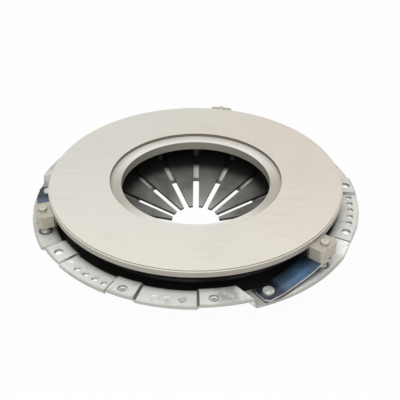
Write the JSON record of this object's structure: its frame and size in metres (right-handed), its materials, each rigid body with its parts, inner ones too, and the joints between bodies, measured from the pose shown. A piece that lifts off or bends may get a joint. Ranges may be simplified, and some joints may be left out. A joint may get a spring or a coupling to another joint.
{
  "type": "clutch pressure plate",
  "caption": "Clutch pressure plate: cast ring with riveted spring straps on a stepped steel cover, with a diaphragm spring whose fingers close in round an open centre.",
  "frame": {"origin": "on the main axis, in the plane of the cover's raised mounting pads, which seat on the flywheel", "axes": "+Z along the main axis towards the flywheel, out of the friction face; +X and +Y across it, with one finger slot on +Y"},
  "size_m": [0.368, 0.3679, 0.0629],
  "materials": {
    "cover_steel": "satin",
    "cast_iron": "ground",
    "spring_steel": "satin",
    "strap_steel": "blued",
    "rivet_steel": "satin",
    "wire_steel": "satin"
  },
  "bodies": {
    "cover": {"cover_pressing": "cover_steel", "diaphragm_spring": "spring_steel", "upper_pivot_ring": "wire_steel", "lower_pivot_ring": "wire_steel", "pivot_rivets": "rivet_steel", "cover_strap_rivet_a": "rivet_steel", "cover_strap_rivet_b": "rivet_steel", "cover_strap_rivet_c": "rivet_steel", "strap_a_lower_leaf": "strap_steel", "strap_a_middle_leaf": "strap_steel", "strap_a_upper_leaf": "strap_steel", "strap_b_lower_leaf": "strap_steel", "strap_b_middle_leaf": "strap_steel", "strap_b_upper_leaf": "strap_steel", "strap_c_lower_leaf": "strap_steel", "strap_c_middle_leaf": "strap_steel", "strap_c_upper_leaf": "strap_steel"},
    "pressure_plate": {"pressure_ring": "cast_iron", "lug_rivet_a": "rivet_steel", "lug_rivet_b": "rivet_steel", "lug_rivet_c": "rivet_steel"}
  },
  "joints": [
    {"name": "plate_travel", "type": "slide", "parent": "cover", "child": "pressure_plate", "axis": [0, 0, 1], "range_m": [-0.005, 0], "stiffness_N_per_m": 20000, "springref_m": 0.01, "deforming": ["diaphragm_spring", "strap_a_lower_leaf", "strap_a_middle_leaf", "strap_a_upper_leaf", "strap_b_lower_leaf", "strap_b_middle_leaf", "strap_b_upper_leaf", "strap_c_lower_leaf", "strap_c_middle_leaf", "strap_c_upper_leaf"]}
  ]
}
